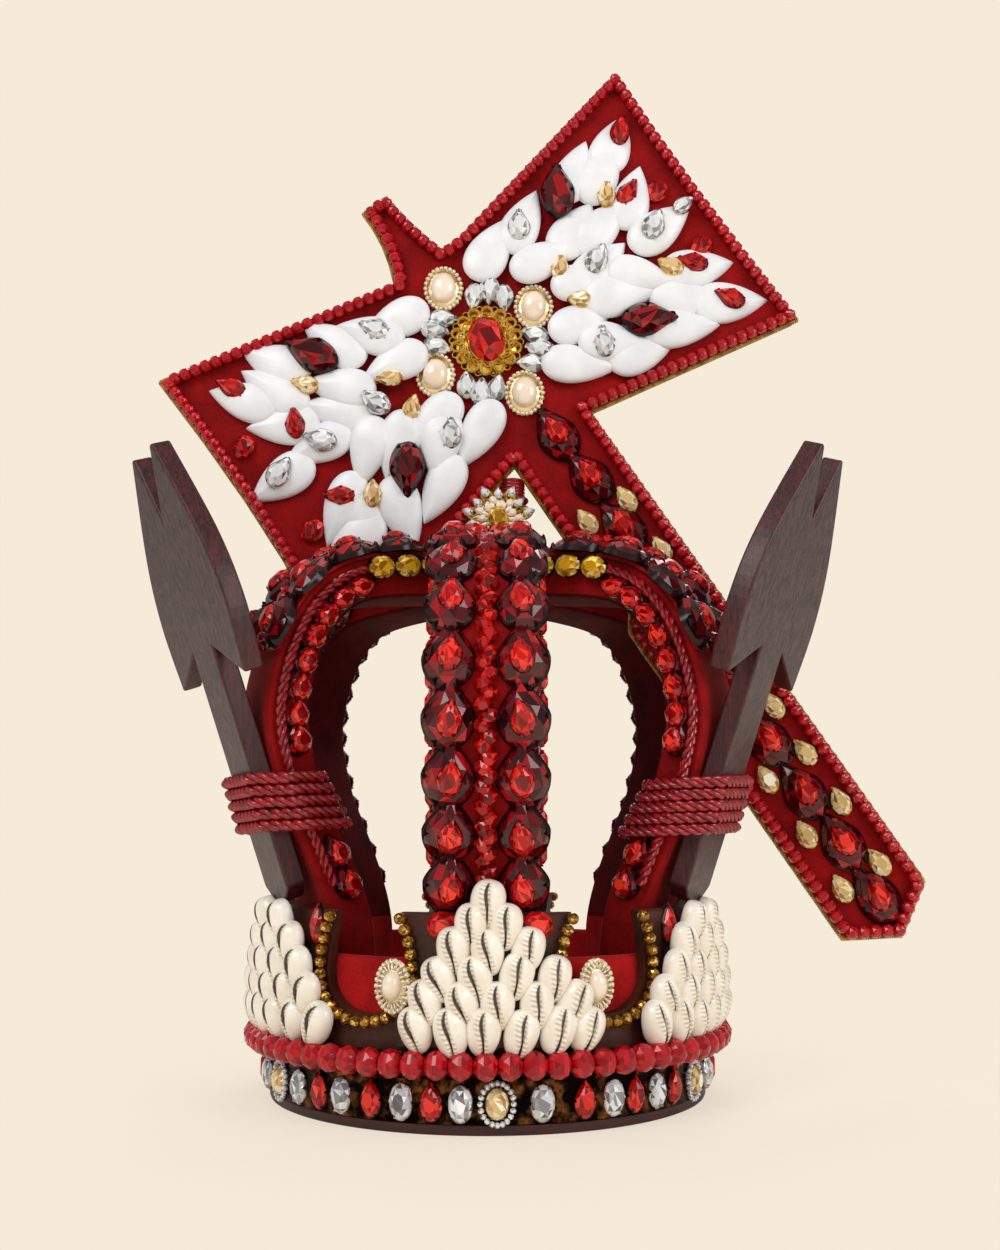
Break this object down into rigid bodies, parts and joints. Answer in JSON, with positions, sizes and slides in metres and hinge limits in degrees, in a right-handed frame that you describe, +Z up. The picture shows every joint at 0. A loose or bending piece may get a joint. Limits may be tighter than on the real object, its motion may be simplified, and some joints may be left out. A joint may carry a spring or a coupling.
{
  "type": "orisha crown",
  "caption": "Six-arched beaded ceremonial crown with cowrie panels, wooden hand axes and a large tilted double-axe crest.",
  "frame": {"origin": "middle of the outer box at the plane the rim rests on", "axes": "+X to the wearer's left as seen from the front (viewer's right), +Y towards the back, +Z up"},
  "size_m": [0.3676, 0.2446, 0.5043],
  "materials": {
    "dark_lacquer": "gloss lacquer",
    "jewelled_leather": "satin, set with glass stones",
    "red_beads": "polished opaque",
    "red_velvet": "velvet pile",
    "gold_metal": "polished",
    "red_cord": "satin twist",
    "pearl": "pearlescent",
    "cowrie_shell": "natural shell gloss",
    "dark_red_stones": "faceted",
    "gold_beads": "faceted",
    "lacquered_wood": "satin lacquer",
    "white_petals": "satin"
  },
  "bodies": {
    "root": {"base_rim": "dark_lacquer", "stone_band": "jewelled_leather", "bead_ring": "red_beads", "crest_wall": "jewelled_leather", "velvet_liner": "red_velvet", "top_hub": "red_velvet", "topper_brooch": "gold_metal", "post_binding": "red_cord", "pearl_brooch_left": "pearl", "pearl_brooch_right": "pearl", "cowrie_panel_front": "cowrie_shell", "arch_front": "red_velvet", "jewel_strip_front": "dark_red_stones", "edge_cord_front_left": "red_cord", "edge_cord_front_right": "red_cord", "bead_edging_1": "gold_beads", "cowrie_panel_right_front": "cowrie_shell", "arch_right_front": "red_velvet", "jewel_strip_right_front": "dark_red_stones", "edge_cord_right_front_left": "red_cord", "edge_cord_right_front_right": "red_cord", "bead_edging_2": "gold_beads", "cowrie_panel_right_back": "cowrie_shell", "arch_right_back": "red_velvet", "jewel_strip_right_back": "dark_red_stones", "edge_cord_right_back_left": "red_cord", "edge_cord_right_back_right": "red_cord", "bead_edging_3": "gold_beads", "cowrie_panel_back": "cowrie_shell", "arch_back": "red_velvet", "jewel_strip_back": "dark_red_stones", "edge_cord_back_left": "red_cord", "edge_cord_back_right": "red_cord", "bead_edging_4": "gold_beads", "cowrie_panel_left_back": "cowrie_shell", "arch_left_back": "red_velvet", "jewel_strip_left_back": "dark_red_stones", "edge_cord_left_back_left": "red_cord", "edge_cord_left_back_right": "red_cord", "bead_edging_5": "gold_beads", "cowrie_panel_left_front": "cowrie_shell", "arch_left_front": "red_velvet", "jewel_strip_left_front": "dark_red_stones", "edge_cord_left_front_left": "red_cord", "edge_cord_left_front_right": "red_cord", "bead_edging_6": "gold_beads", "hand_axe_right": "lacquered_wood", "arch_tie_right": "red_cord", "hand_axe_left": "lacquered_wood", "arch_tie_left": "red_cord", "axe_plate": "red_velvet", "plate_border": "red_beads", "petal_spray_right": "white_petals", "petal_spray_left": "white_petals", "centre_brooch": "gold_metal", "handle_stones_upper": "dark_red_stones", "handle_stones_lower": "dark_red_stones"}
  },
  "joints": []
}
